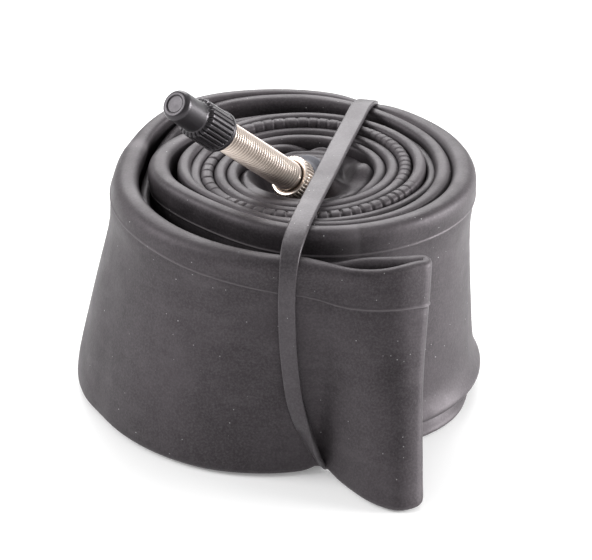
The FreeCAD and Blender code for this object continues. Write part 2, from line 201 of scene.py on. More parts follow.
# how far the mould line runs below the high edge, and at least how far below its rounding
BEAD_DROP = 7.7
BEAD_CLEARANCE = 1.3
OUTER_BEAD = [
    (0, 7.7), (1.5, 7.7), (2.5, 5.2), (3.3, 5.2), (3.45, 4.1), (3.57, 3.9), (3.61, 4.2), (3.65, 5.0),
    (3.69, 5.8), (3.74, 7.0), (3.75, 7.2),
]


def outer_radius(turn):
    """Middle radius of the outer strip at its high edge; each turn lays two layers on the roll."""
    layer = 2 * turn + 1
    beyond = np.log1p(np.exp(LOOSE_SHARPNESS * (layer - LOOSE_FROM_LAYER)))
    loosening = LOOSE_EXTRA_PITCH * beyond / LOOSE_SHARPNESS
    radius = CORE_RADIUS + LAYER_PITCH * layer + loosening
    for centre, spread, push in BULGES:
        radius = radius + push * bump_at(turn, centre, spread)
    return radius


def wound_points(turn, inner, low):
    """Plan points of one strip's middle line at its high or low edge."""
    radius = outer_radius(turn)
    if inner:
        radius = radius - smooth_knots(STRIP_GAP, turn)
    if low:
        radius = radius + smooth_knots(INNER_FLARE if inner else OUTER_FLARE, turn)
    angle = 2 * math.pi * turn
    x = ROLL_CENTRE[0] + radius * np.cos(angle)
    y = ROLL_CENTRE[1] + radius * np.sin(angle) * DEPTH_SHARE
    return np.stack([x, y], axis=-1)


FLAP_RUN_HIGH = 20.7
FLAP_RUN_LOW = 19.1
# (share of the flap's run, millimetres) knots
FLAP_SWING_LOW = [
    (0, 0), (0.13, -0.4), (0.22, 0.9), (0.366, 4.6), (0.6, 10.6), (0.75, 12.9), (0.87, 14.0),
    (0.94, 13.9), (1, 13.2),
]
FLAP_SWING_HIGH = [(0, 0), (0.2, 0.5), (0.45, 1.4), (0.65, 1.7), (0.8, 1.2), (0.9, 0.3), (1, -0.9)]
FLAP_GAP_HIGH = [(0, 2.5), (0.3, 2.6), (0.5, 3.0), (0.8, 2.9), (1, 2.5)]
FLAP_GAP_LOW = [(0, 2.5), (0.5, 3.2), (1, 2.6)]
FLAP_TOP_OUTER = [(0, -2.5), (0.2, -3.6), (0.4, -4.2), (0.6, -4.1), (0.8, -3.6), (0.95, -3.3), (1, -3.5)]
FLAP_TOP_INNER = [(0, -5.0), (0.2, -4.8), (0.45, -3.3), (0.7, -3.0), (0.9, -3.5), (1, -3.7)]
FLAP_RIM_OUTER = [(0, 1.9), (0.4, 1.15), (1, 1.0)]
FLAP_RIM_INNER = 1.15
FLAP_BEAD_OUTER = [(0, 7.2), (0.3, 7.3), (0.6, 7.2), (1, 8.2)]
FLAP_BEAD_INNER = [(0, 7.7), (1, 8.2)]
FLAP_STATIONS = 25


def flap_points(share, inner, low):
    """Plan points of the flap: nearly straight at its high edge, swung out at its low edge."""
    root = wound_points(np.array([ROLL_TURNS]), False, low)[0]
    x = root[0] + (FLAP_RUN_LOW if low else FLAP_RUN_HIGH) * share
    y = root[1] - smooth_knots(FLAP_SWING_LOW if low else FLAP_SWING_HIGH, share)
    if inner:
        y = y + smooth_knots(FLAP_GAP_LOW if low else FLAP_GAP_HIGH, share)
    return np.stack([x, y], axis=-1)


def half_round(start, finish, forward, steps):
    """Points of a half-round fold from one strip's end to the other's."""
    middle = (start + finish) / 2
    radius_vector = (start - finish) / 2
    reach = forward * np.linalg.norm(radius_vector)
    angles = np.linspace(0, math.pi, steps + 2)[1:-1]
    return middle + np.cos(angles)[:, None] * radius_vector + np.sin(angles)[:, None] * reach


# cross grooves in the high edge: (strip is inner, first turn, last turn, pitch, groove depth)
CRINKLES = [
    (False, 0.93, 1.16, 2.0, 0.28),
    (False, 1.18, 1.43, 2.3, 0.30),
    (True, 1.40, 1.60, 3.5, 0.32),
    (True, 1.60, 1.95, 2.4, 0.52),
]
CRINKLE_HALF_WIDTH = 0.22
COARSE_STEP = 0.9
FINE_STEP = 0.24


def winding_turns(inner):
    """Turn values along a strip, closer together where the edge is crinkled."""
    turns = [FIRST_TURN]
    while turns[-1] < ROLL_TURNS:
        turn = turns[-1]
        fine = any(c[0] == inner and c[1] - 0.01 < turn < c[2] + 0.01 for c in CRINKLES)
        step = FINE_STEP if fine else COARSE_STEP
        radius = float(outer_radius(np.array([turn]))[0])
        turns.append(turn + step / (2 * math.pi * radius))
    turns[-1] = ROLL_TURNS
    return np.array(turns)


def crinkle_depth(turn, inner):
    """Depth of the cross grooves pressed into the high edge, at each place along a strip."""
    depth = np.zeros_like(turn)
    for strip, start, finish, pitch, groove in CRINKLES:
        if strip != inner:
            continue
        travel = 2 * math.pi * outer_radius(turn) * (turn - start)
        wander = 0.25 * seeded_wave(travel, start, 0.2)
        phase = ((travel / pitch + wander) + 0.5) % 1.0 - 0.5
        dent = np.exp(-((phase * pitch) / CRINKLE_HALF_WIDTH) ** 2) - 0.25
        fade = [(start - 0.001, 0), (start + 0.03, 1), (finish - 0.04, 1), (finish, 0)]
        uneven = 0.75 + 0.5 * seeded_wave(travel, start + 3, 0.35)
        depth += groove * dent * smooth_knots(fade, turn) * uneven
    return depth


# where the band crosses the high edge and how deep it presses in
BAND_CROSSING = 3.192
BAND_BITE = 1.0
LEFT_SPLICE = 3.452
FRONT_SPLICE = 2.803
FOLD_STEPS = 9
STATION_VALUES = ("top", "foot", "rim", "groove", "wear", "fold_line", "bow", "kick", "bead")


def splice_marks(turn):
    """Pale marks across the outer strip where the tube was joined."""
    left = 0.9 * bump_at(turn, LEFT_SPLICE, 0.008)
    sharp_side = 0.55 * bump_at(turn, FRONT_SPLICE, 0.02)
    soft_side = 0.12 * bump_at(turn, FRONT_SPLICE, 0.05)
    return left + np.where(turn < FRONT_SPLICE, sharp_side, soft_side)


def tube_stations():
    """Every station along the closed tube: plan points at both edges and the STATION_VALUES."""
    inner_turn = winding_turns(True)
    outer_turn = winding_turns(False)[::-1]
    share = np.linspace(0, 1, FLAP_STATIONS + 1)[1:]
    parts = {key: [] for key in ("high", "low", *STATION_VALUES)}

    def add(high, low, **values):
        parts["high"].append(high)
        parts["low"].append(low)
        for key in STATION_VALUES:
            parts[key].append(np.broadcast_to(values.get(key, 0.0), len(high)))

    def add_wound(turn, inner):
        top = TUBE_WIDTH + smooth_knots(INNER_TOP if inner else OUTER_TOP, turn)
        top = top - TOP_WAVE_LOW + TOP_WAVE * seeded_wave(turn, 2 if inner else 5, 2.3)
        if not inner:
            top = top - BAND_BITE * bump_at(turn, BAND_CROSSING, 0.013)
        rim = smooth_knots(INNER_RIM if inner else OUTER_RIM, turn)
        foot = 0.0 * turn if inner else smooth_knots(OUTER_FOOT, turn)
        wear = 0.0 * turn if inner else splice_marks(turn)
        kick = smooth_knots(INNER_KICK if inner else OUTER_KICK, turn)
        bow = STEADY_BOW + 0.0 * turn if inner else smooth_knots(OUTER_BOW, turn)
        bead = BEAD_DROP + 0.0 * turn if inner else smooth_knots(OUTER_BEAD, turn)
        travel = 2 * math.pi * outer_radius(turn) * turn
        # a painted highlight along each strip's crest, with some rubbing in it; it runs unevenly along the
        # strip and stops short of the loose outer lip
        fold_line = 0.55 + 0.45 * seeded_wave(travel, 11 if inner else 13, 0.06)
        fold_line = fold_line * np.clip((3.45 - turn) / 0.1, 0, 1)
        add(wound_points(turn, inner, False), wound_points(turn, inner, True),
            top=top, foot=foot, rim=rim, groove=crinkle_depth(turn, inner), wear=wear,
            fold_line=fold_line, bow=bow, kick=kick, bead=bead)

    def add_flap(shares, inner):
        top = TUBE_WIDTH + smooth_knots(FLAP_TOP_INNER if inner else FLAP_TOP_OUTER, shares)
        rim = FLAP_RIM_INNER if inner else smooth_knots(FLAP_RIM_OUTER, shares)
        bead = smooth_knots(FLAP_BEAD_INNER if inner else FLAP_BEAD_OUTER, shares)
        # the flap's crest brightens towards its folded end: a painted highlight
        add(flap_points(shares, inner, False), flap_points(shares, inner, True),
            top=top, rim=rim, bow=STEADY_BOW, fold_line=0.5 * bump_at(shares, 1.0, 0.2), bead=bead)

    def add_fold(high_end, low_end, forward, **values):
        high = half_round(parts["high"][-1][-1], high_end, forward, FOLD_STEPS)
        low = half_round(parts["low"][-1][-1], low_end, forward, FOLD_STEPS)
        add(high, low, bow=STEADY_BOW, **values)

    add_wound(inner_turn, True)
    add_flap(share, True)
    flap_high, flap_low = (flap_points(share[-1:], False, low)[0] for low in (False, True))
    # the flap's folded end carries a painted highlight along its crest
    add_fold(flap_high, flap_low, np.array([1.0, 0.15]), top=TUBE_WIDTH - 3.8, rim=1.0, fold_line=0.5,
             bead=FLAP_BEAD_OUTER[-1][1])
    add_flap(share[::-1], False)
    add_wound(outer_turn, False)
    add_fold(parts["high"][0][0], parts["low"][0][0], np.array([0.0, -1.0]), top=TUBE_WIDTH - 7.0, rim=1.2,
             bead=BEAD_DROP)
    return {key: np.concatenate(value) for key, value in parts.items()}


def even_out(values, passes):
    """Soften a closed row of values a little."""
    for _ in range(passes):
        values = 0.25 * np.roll(values, 1, axis=0) + 0.5 * values + 0.25 * np.roll(values, -1, axis=0)
    return values


BEAD_HEIGHT = 0.2
BEAD_HALF_WIDTH = 0.19
# how far down from the rounding the cross grooves run out
GROOVE_REACH = 3.2
EDGE_ROUND_STEPS = 11
EDGE_SQUARENESS = 2.5
LOW_RIM = 1.15
# mesh rows above the low edge, about the mould line and, as shares of the way, on up to the rounding
FOOT_ROWS = (0.0, 0.5, 1.2, 2.2, 3.6, 5.5)
BEAD_ROWS = (-1.0, -0.5, -0.34, -0.22, -0.11, 0.0, 0.11, 0.22, 0.34, 0.5, 1.0)
TOP_ROWS = (0.25, 0.5, 0.7, 0.85, 0.94, 1.0)
PLAIN_ROWS_END = 2.0
# where the band runs under the roll, and how far the low edge is lifted there
BAND_LINE_X = 5.4
BAND_LINE_Y = -35.0
BAND_LINE_SLOPE = 0.118
BAND_LIFT = 0.85


def face_distances(length, rim, bead_drop):
    """Where the mesh rows lie up a face: close together at both ends and at the mould line."""
    bead = length - bead_drop
    foot_end = FOOT_ROWS[-1] + LOW_RIM
    plain = bead - PLAIN_ROWS_END - FOOT_ROWS[-1] - LOW_RIM
    bead_end = bead + BEAD_ROWS[-1]
    top = length - rim
    rows = [LOW_RIM + step for step in FOOT_ROWS]
    rows += [foot_end + plain * share for share in np.linspace(0.1, 1.0, 10)]
    rows += [bead + step for step in BEAD_ROWS]
    rows += [bead_end + (top - bead - BEAD_ROWS[-1]) * share for share in TOP_ROWS]
    return rows


def band_line(y):
    """How far across the rubber band lies under the roll, at a place from front to back."""
    return BAND_LINE_X + BAND_LINE_SLOPE * (y - BAND_LINE_Y)


def make_tube_roll():
    """The doubled tube, wound into its roll: one closed surface round a flattened section."""
    stations = tube_stations()
    high = even_out(stations["high"], 2)
    low = even_out(stations["low"], 2)
    top = even_out(stations["top"], 12)
    rim = even_out(stations["rim"], 4)
    bead_drop = np.maximum(even_out(stations["bead"], 8), rim + BEAD_CLEARANCE)
    groove = stations["groove"]
    middle = (high + low) / 2
    along = np.roll(middle, -1, axis=0) - np.roll(middle, 1, axis=0)
    along /= np.linalg.norm(along, axis=1)[:, None]
    right = np.stack([along[:, 1], -along[:, 0], 0 * along[:, 0]], axis=-1)
    kick = even_out(stations["kick"], 12)
    bulge = even_out(stations["bow"], 12)
    over_band = bump_at(low[:, 0] - band_line(low[:, 1]), 0.0, 2.4)
    foot = LOW_EDGE + even_out(stations["foot"], 12) + BAND_LIFT * np.minimum(1.0, 1.6 * over_band)
    bottom = np.concatenate([low, foot[:, None]], axis=1)
    crest = np.concatenate([high, top[:, None]], axis=1)
    rise = crest - bottom
    length = np.linalg.norm(rise, axis=1)
    round_angles = np.linspace(0, math.pi, EDGE_ROUND_STEPS + 2)[1:-1]
    rows = []
    worn_and_lit = []

    def thickness(distance, outer_face):
        """Half the strip's thickness up its face, swelling into the rounded edges."""
        from_top = length - rim - distance
        swell = 1.5 * rim + 2.0 * np.clip(rim - 1.3, 0, 1)
        half = WALL_PAIR_HALF + (rim - WALL_PAIR_HALF) * np.exp(-((from_top / swell) ** 2))
        half = half + (LOW_RIM - WALL_PAIR_HALF) * bump_at(distance, LOW_RIM, 2.0)
        half = half - groove * bump_at(from_top, 0.0, GROOVE_REACH)
        if outer_face:
            from_bead = distance - (length - bead_drop)
            half = half + BEAD_HEIGHT * bump_at(from_bead, 0.0, BEAD_HALF_WIDTH)
            half = half - 0.5 * BEAD_HEIGHT * bump_at(from_bead, -0.4, 0.3)
        return half

    def place(distance, offset, wear):
        """Add one row of points along the whole tube, at a distance up its face."""
        share = (distance / length)[:, None]
        bow = bulge[:, None] * np.sin(math.pi * np.clip(share, 0, 1)) ** 2
        level = np.clip(distance, 0, None) / KICK_HEIGHT
        bow = bow - (kick * level * np.exp(1 - level))[:, None]
        rows.append(bottom + rise * share + right * (bow + offset[:, None]))
        near_top = np.clip((distance - length + 9.0) / 2.0, 0, 1)
        worn_and_lit.append(np.clip(wear + near_top * stations["wear"], 0, 1))

    def squared(value):
        """A sine or cosine made squarer, for a fuller edge than a half circle."""
        return math.copysign(abs(value) ** (2 / EDGE_SQUARENESS), value)

    distances = face_distances(length, rim, bead_drop)
    for distance in distances:
        on_bead = bump_at(distance - (length - bead_drop), 0.0, BEAD_HALF_WIDTH)
        place(distance, -thickness(distance, True), 0.9 * on_bead)
    # the rounded high edge: a little paler towards its top and much paler along a line just past the crest,
    # a painted highlight with some rubbing in it
    for angle in round_angles:
        reach = rim - groove
        crease = math.exp(-(((angle - 2.0) / 0.28) ** 2))
        place(length - rim + reach * squared(math.sin(angle)), -reach * squared(math.cos(angle)),
              0.1 * math.sin(angle) + 0.75 * crease * stations["fold_line"])
    for distance in distances[::-1]:
        place(distance, thickness(distance, False), 0 * rim)
    for angle in round_angles:
        place(LOW_RIM - LOW_RIM * math.sin(angle), LOW_RIM * math.cos(angle) + 0 * rim, 0.2 + 0 * rim)
    points = np.stack(rows, axis=1) * MM
    piece = grid_object("tube_roll", points, True, True, wear=np.stack(worn_and_lit, axis=1))
    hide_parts("tube_body")
    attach(piece, ROLLED)
    return piece


# ---- turned pieces on the valve's axis ----------------------------------------------------------


def rounded_profile(corners, rounding, steps=4):
    """Corners (height, radius) joined by straight runs, each corner rounded by a small arc."""
    corners = [np.array(corner, dtype=float) for corner in corners]
    points = [corners[0]]
    for before, corner, after in zip(corners, corners[1:], corners[2:]):
        entry = before - corner
        leave = after - corner
        cut = min(rounding, 0.45 * np.linalg.norm(entry), 0.45 * np.linalg.norm(leave))
        start = corner + entry / np.linalg.norm(entry) * cut
        finish = corner + leave / np.linalg.norm(leave) * cut
        for step in range(steps + 1):
            share = step / steps
            points.append((1 - share) ** 2 * start + 2 * share * (1 - share) * corner + share ** 2 * finish)
    points.append(corners[-1])
    return np.array(points)


def fill_profile(profile, longest):
    """Split a profile's long runs so that no step is longer than asked."""
    filled = [profile[0]]
    for before, after in zip(profile, profile[1:]):
        count = max(1, int(math.ceil(np.linalg.norm(after - before) / longest)))
        for step in range(1, count + 1):
            filled.append(before + (after - before) * step / count)
    return np.array(filled)


def turned_piece(name, profile, sides, relief=None, closed=True):
    """Turn a (height, radius) profile about the valve's axis; relief(height, radius, angle) cuts it."""
    angle = np.linspace(0, 2 * math.pi, sides, endpoint=False)
    height = np.repeat(profile[:, 0][:, None], sides, axis=1)
    radius = np.repeat(profile[:, 1][:, None], sides, axis=1)
    turn = np.repeat(angle[None, :], len(profile), axis=0)
    cut = relief(height, radius, turn) if relief is not None else 0 * radius
    radius = radius - cut
    points = np.stack([radius * np.cos(turn), radius * np.sin(turn), height], axis=-1) * MM
    # the cut goes in as the mesh value, from which the materials paint shade into the grooves
    return grid_object(name, points, closed, True, VALVE_MATRIX, cut / max(cut.max(), 0.01))


def close_ends(piece):
    """Merge the points that meet on the axis."""
    shape = bmesh.new()
    shape.from_mesh(piece.data)
    bmesh.ops.remove_doubles(shape, verts=shape.verts, dist=0.004 * MM)
    shape.to_mesh(piece.data)
    shape.free()


def thread_relief(pitch, depth, start, finish, major):
    """Depth cut by a screw thread with rounded crests, fading out at both ends of its run."""
    def relief(height, radius, turn):
        phase = (height / pitch - turn / (2 * math.pi)) % 1.0
        flank = np.abs(2 * phase - 1)
        cut = depth * np.clip(1.25 * flank - 0.12, 0, 1)
        fade = np.clip((height - start) / pitch, 0, 1) * np.clip((finish - height) / pitch, 0, 1)
        return cut * fade * (np.abs(radius - major) < 0.02)
    return relief


THREAD_PITCH = 0.794
THREAD_DEPTH = 0.38
THREAD_RADIUS = 2.97


def make_stem():
    """Plated stem with its outer thread, foot flange and stepped bore."""
    major = THREAD_RADIUS
    outside = [(5.35, 2.75), (5.4, major), (30.2, major), (30.25, 2.7), (31.7, 2.7), (32.0, 2.4)]
    profile = [(0.4, 1.3), (0.4, 4.0), (1.2, 4.0), (1.25, 2.75)] + outside
    profile += [(32.0, 2.25), (26.0, 2.25), (26.0, 1.95), (14.0, 1.95), (14.0, 1.3)]
    filled = fill_profile(np.array(profile), 0.066)
    thread = thread_relief(THREAD_PITCH, THREAD_DEPTH, 5.3, 30.2, major)
    piece = turned_piece("valve_stem_threaded", filled, 96, thread)
    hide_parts("valve_stem")
    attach(piece, ROLLED)
    return piece


def knurl_relief(count, depth, rim, low, high):
    """Straight grooves round a rim, running out at its chamfers."""
    def relief(height, radius, turn):
        wave = np.clip(1.4 * np.cos(count * turn) - 0.1, 0, 1)
        near_rim = np.clip((radius - (rim - 0.5)) / 0.5, 0, 1)
        return depth * wave * near_rim * ((height > low) & (height < high))
    return relief


NUT_RADIUS = 4.3
NUT_GROOVES = 36


def make_rim_nut():
    """Round nut with a knurled edge and a bright turned face."""
    corners = [
        (3.7, 3.05), (2.2, 3.05), (2.2, 3.9), (2.6, NUT_RADIUS), (4.8, NUT_RADIUS), (5.2, 3.85),
        (5.2, 3.4), (4.95, 3.05), (3.7, 3.05),
    ]
    profile = fill_profile(rounded_profile(corners, 0.12, 3), 0.3)[:-1]
    knurl = knurl_relief(NUT_GROOVES, 0.34, NUT_RADIUS, 2.3, 5.1)
    piece = turned_piece("rim_nut_knurled", profile, 360, knurl)
    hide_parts("rim_nut")
    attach(piece, "nut")
    return piece


CAP_GROOVES = 24
CAP_GROOVE_DEPTH = 0.6


def make_cap():
    """Hollow cap with a plain nose, a ribbed skirt, a smooth collar and a raised ring on its end."""
    corners = [
        (44.6, 0.001), (44.6, 2.4), (38.3, 2.4), (38.3, 2.65), (32.3, 2.65), (32.3, 3.12), (30.4, 3.12),
        (30.4, 3.98), (31.35, 3.98), (31.45, 3.85), (38.3, 3.85), (38.7, 2.95), (44.8, 2.95), (45.5, 2.4),
        (45.5, 1.75), (45.3, 1.6), (45.3, 0.001),
    ]
    profile = fill_profile(rounded_profile(corners, 0.4, 5), 0.3)

    def relief(height, radius, turn):
        wave = np.clip(2.4 * np.cos(CAP_GROOVES * turn) - 1.0, 0, 1)
        skirt = np.clip((radius - 3.1) / 0.35, 0, 1)
        run = np.clip((height - 31.5) / 0.2, 0, 1)
        return CAP_GROOVE_DEPTH * wave * skirt * run
    piece = turned_piece("cap_ribbed", profile, 288, relief, closed=False)
    close_ends(piece)
    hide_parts("valve_cap")
    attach(piece, "cap")
    return piece


def make_foot():
    """Rubber foot: a thin rim bonded to the tube and a raised collar round the stem."""
    corners = [
        (1.2, 2.75), (2.1, 2.75), (2.1, 4.1), (1.3, 4.6), (0.75, 5.8), (0.35, 6.0), (0.02, 5.95),
        (0.02, 3.9), (0.4, 4.0), (1.2, 4.0), (1.2, 2.75),
    ]
    profile = fill_profile(rounded_profile(corners, 0.2, 3), 0.25)[:-1]
    piece = turned_piece("foot_rubber_disc", profile, 96)
    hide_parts("valve_foot_patch")
    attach(piece, ROLLED)
    return piece


# ---- the bunched middle of the roll -------------------------------------------------------------

CORE_FLOOR = 20.0
CORE_SHELF = 44.0
CORE_LOWEST_SEAT = 39.0
# what the core leaves free of the strip round it
CORE_CLEARANCE = 0.7
# the flat that the rubber foot sits on: half its width, and its reach ahead of and behind the valve
SEAT_ACROSS = 6.4
SEAT_AHEAD = 5.6
SEAT_BEHIND = 4.3
RIDGE_PITCH = 2.1
RIDGE_HEIGHT = 0.15
# the rounded end of the tube's first fold: its place, how far it stands up and the crease before it
NOSE_X = 13.0
NOSE_Y = 3.0
NOSE_HEIGHT = 1.9
CREASE_X = 9.2
CREASE_DEPTH = 1.8


def smooth_step(value):
    """0 below 0, 1 above 1, smooth between."""
    value = np.clip(value, 0, 1)
    return value * value * (3 - 2 * value)


def core_edge(angle):
    """How far the bunched core reaches: to the inner strip, or to the outer strip round the fold."""
    part = (angle / (2 * math.pi)) % 1.0
    inside = outer_radius(part) - smooth_knots(STRIP_GAP, part) - CORE_CLEARANCE
    turn = np.where(part > 0.5, part - 1.0, part)
    at_fold = outer_radius(turn) - CORE_CLEARANCE
    share = smooth_step((part - 0.8) / 0.06) + smooth_step((0.26 - part) / 0.06)
    return inside * (1 - share) + at_fold * share


def core_height(x, y):
    """Height of the core: square to the valve round its foot, a shelf about it, a nose at the fold."""
    foot = np.array(VALVE_FOOT) / MM
    reach = math.hypot(VALVE_AXIS.x, VALVE_AXIS.y)
    ahead = ((x - foot[0]) * VALVE_AXIS.x + (y - foot[1]) * VALVE_AXIS.y) / reach
    across = ((x - foot[0]) * VALVE_AXIS.y - (y - foot[1]) * VALVE_AXIS.x) / reach
    seat = np.maximum(foot[2] - 0.1 - ahead * reach / VALVE_AXIS.z, CORE_LOWEST_SEAT)
    behind = smooth_step((-ahead - 2.0) / 4.0) * smooth_step((9.5 - x) / 4.0)
    from_middle = np.hypot(x - ROLL_CENTRE[0], (y - ROLL_CENTRE[1]) / DEPTH_SHARE)
    ridges = RIDGE_HEIGHT * np.cos(2 * math.pi * from_middle / RIDGE_PITCH)
    shelf = CORE_SHELF + behind * (0.7 + ridges)
    seat = np.minimum(seat, shelf + 0.2)
    away = np.hypot(across / SEAT_ACROSS, ahead / np.where(ahead > 0, SEAT_AHEAD, SEAT_BEHIND))
    share = smooth_step((away - 1.0) / 0.9)
    nose = NOSE_HEIGHT * np.exp(-(((x - NOSE_X) / 3.0) ** 2) - ((y - NOSE_Y) / 3.6) ** 2)
    crease = -CREASE_DEPTH * np.exp(-(((x - CREASE_X) / 1.2) ** 2) - ((y - NOSE_Y) / 3.4) ** 2)
    return seat * (1 - share) + (shelf + nose + crease) * share


def make_core():
    """The bunched inner end of the tube, which carries the rubber foot and fills the roll's middle."""
    columns = 240
    angle = np.linspace(0, 2 * math.pi, columns, endpoint=False)
    edge = even_out(core_edge(angle), 4)
    shares = np.concatenate([np.linspace(0.0, 0.9, 46), [0.93, 0.955, 0.975, 0.99]])
    rows = []
    for share in shares:
        x = ROLL_CENTRE[0] + share * edge * np.cos(angle)
        y = ROLL_CENTRE[1] + share * edge * np.sin(angle) * DEPTH_SHARE
        spots = [Vector((px * 0.16, py * 0.3, 3.0)) for px, py in zip(x, y)]
        wrinkle = np.array([0.3 * noise.noise(spot) for spot in spots])
        drop = 1.5 * max(0.0, (share - 0.86) / 0.13) ** 2
        rows.append(np.stack([x, y, core_height(x, y) + wrinkle * share - drop], axis=-1))
    rim = rows[-1]
    for level in (0.25, 0.6, 1.0):
        side = rim.copy()
        side[:, 2] = rim[:, 2] * (1 - level) + CORE_FLOOR * level
        rows.append(side)
    centre = np.array([ROLL_CENTRE[0], ROLL_CENTRE[1], CORE_FLOOR])
    rows.append(np.repeat(centre[None, :], columns, axis=0))
    piece = grid_object("tube_core", np.stack(rows) * MM, False, True)
    close_ends(piece)
    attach(piece, ROLLED)
    return piece


# ---- rubber band --------------------------------------------------------------------------------


def catmull_loop(knots, per_span):
    """A smooth closed curve through the knots."""
    knots = np.array(knots, dtype=float)
    count = len(knots)
    points = []
    for index in range(count):
        a, b, c, d = (knots[(index + shift) % count] for shift in (-1, 0, 1, 2))
        for step in range(per_span):
            u = step / per_span
            points.append(0.5 * (2 * b + (c - a) * u + (2 * a - 5 * b + 4 * c - d) * u * u
                                 + (3 * b - a - 3 * c + d) * u ** 3))
    return np.array(points)


# from the outermost strip's middle to the band's middle
BAND_STAND_OFF = 1.95
BAND_HALF_WIDTH = 1.9
BAND_HALF_WIDTH_FRONT = 1.6
BAND_HALF_THICK = 0.5
BAND_CORNER = 0.28
# height of the band's middle under the roll
BAND_LOW = 0.62
# places over the top of the roll, from the back to the front
BAND_TOP = [
    (13.2, 26.2, 47.85), (11.4, 18.7, 47.95), (8.8, 8.0, 47.95), (5.9, -4.6, 47.95),
    (3.2, -16.0, 47.95), (1.2, -24.5, 47.8), (-0.1, -30.0, 46.9),
]
# (place across, height, way the flat face looks) down the front, where it is pulled under the flap
BAND_FRONT = [
    (-1.3, 41.3, (0, -1, 0.1)), (-1.5, 36.0, (0, -1, 0)), (-1.3, 28.5, (0, -1, 0)),
    (-0.8, 22.5, (0, -1, 0)), (-0.1, 17.0, (-0.1, -1, 0)), (1.0, 12.5, (-0.4, -1, 0)),
    (2.4, 8.4, (-0.8, -0.7, 0)), (4.2, 4.0, (-0.8, -0.4, -0.4)),
]
# (place across, height, rise of the flat face's look) up the back
BAND_BACK = [(14.2, 3.5, 0), (14.8, 20.0, 0), (15.2, 38.0, 0.05), (15.2, 44.6, 0.6)]
BAND_BACK_LOOK = (0.37, 0.93)
BAND_BACK_LIP = 14.8


def outer_wall_y(x, height, turns):
    """Plan place of the outermost face at a height, as it passes a place across."""
    share = height / TUBE_WIDTH
    steps = np.linspace(0, 0.5, 21)
    low = wound_points(turns, False, True)
    high = wound_points(turns, False, False)
    if turns[-1] == ROLL_TURNS:
        low = np.concatenate([low, flap_points(steps[1:], False, True)])
        high = np.concatenate([high, flap_points(steps[1:], False, False)])
    line = low + (high - low) * share
    order = np.argsort(line[:, 0])
    return float(np.interp(x, line[order, 0], line[order, 1]))


def make_band():
    """Flat rubber band stretched over the roll and pulled aside where it rounds the flap."""
    front = np.linspace(3.6, ROLL_TURNS, 40)
    back = np.linspace(3.05, 3.35, 40)
    # each knot is a place, the way the band's flat face looks there and its half width
    knots = [(x, y, height, 0, 0, 1, 2.0) for x, y, height in BAND_TOP]
    knots.append((-0.9, outer_wall_y(-0.9, TUBE_WIDTH, front) - 0.7, 45.1, 0, -0.75, 1, 1.8))
    for x, height, look in BAND_FRONT:
        y = outer_wall_y(x, height, front) - BAND_STAND_OFF
        knots.append((x, y, height, *look, BAND_HALF_WIDTH_FRONT))
    knots.append((5.4, -31.5, BAND_LOW, -0.1, -0.1, -1, 1.7))
    for y in (-10.0, 15.0, 33.0):
        knots.append((band_line(y), y, BAND_LOW, 0, 0, -1, BAND_HALF_WIDTH))
    for x, height, rise in BAND_BACK:
        y = outer_wall_y(x, height, back) + BAND_STAND_OFF
        knots.append((x, y, height, *BAND_BACK_LOOK, rise, BAND_HALF_WIDTH))
    lip = outer_wall_y(BAND_BACK_LIP, TUBE_WIDTH, back) - 0.2
    knots.append((BAND_BACK_LIP, lip, 46.95, 0.1, 0.35, 1, 1.95))
    loop = catmull_loop(knots, 24)
    centre = loop[:, :3]
    outward = loop[:, 3:6] / np.linalg.norm(loop[:, 3:6], axis=1)[:, None]
    half_width = loop[:, 6]
    along = np.roll(centre, -1, axis=0) - np.roll(centre, 1, axis=0)
    along /= np.linalg.norm(along, axis=1)[:, None]
    side = np.cross(along, outward)
    side /= np.linalg.norm(side, axis=1)[:, None]
    outward = np.cross(side, along)
    section = []
    for cx, cy, start in ((1, 1, 0), (-1, 1, 90), (-1, -1, 180), (1, -1, 270)):
        for step in range(4):
            angle = math.radians(start + 30 * step)
            edge = cx * (half_width - BAND_CORNER) + BAND_CORNER * math.cos(angle)
            level = cy * (BAND_HALF_THICK - BAND_CORNER) + BAND_CORNER * math.sin(angle)
            section.append(centre + side * edge[:, None] + outward * level)
    points = np.stack(section, axis=1)
    piece = grid_object("band_strip", points * MM, True, True)
    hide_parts("rubber_band")
    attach(piece, ROLLED)
    return piece


# ---- materials ----------------------------------------------------------------------------------


def new_material(name):
    """A new node material, its nodes, their links and its shader."""
    material = bpy.data.materials.new(name)
    material.use_nodes = True
    nodes = material.node_tree.nodes
    shader = nodes["Principled BSDF"]
    return material, nodes, material.node_tree.links, shader


def texture_place(nodes, links, scale, stretch=1.0):
    """Object coordinates scaled to the wanted detail size."""
    place = nodes.new("ShaderNodeTexCoord")
    mapping = nodes.new("ShaderNodeMapping")
    mapping.inputs["Scale"].default_value = (scale / stretch, scale / stretch, scale)
    links.new(place.outputs["Object"], mapping.inputs["Vector"])
    return mapping.outputs["Vector"]


def noise_node(nodes, links, scale, detail=4.0, roughness=0.55, stretch=1.0):
    """A noise texture, its scale counted per metre; stretch draws it out into level streaks."""
    texture = nodes.new("ShaderNodeTexNoise")
    texture.inputs["Scale"].default_value = 1.0
    texture.inputs["Detail"].default_value = detail
    texture.inputs["Roughness"].default_value = roughness
    links.new(texture_place(nodes, links, scale, stretch), texture.inputs["Vector"])
    return texture.outputs["Fac"]


def ramp_node(nodes, links, source, low, high, low_value=0.0, high_value=1.0):
    """Map a value from one range to another, clamped."""
    ramp = nodes.new("ShaderNodeMapRange")
    ramp.inputs["From Min"].default_value = low
    ramp.inputs["From Max"].default_value = high
    ramp.inputs["To Min"].default_value = low_value
    ramp.inputs["To Max"].default_value = high_value
    links.new(source, ramp.inputs["Value"])
    return ramp.outputs["Result"]


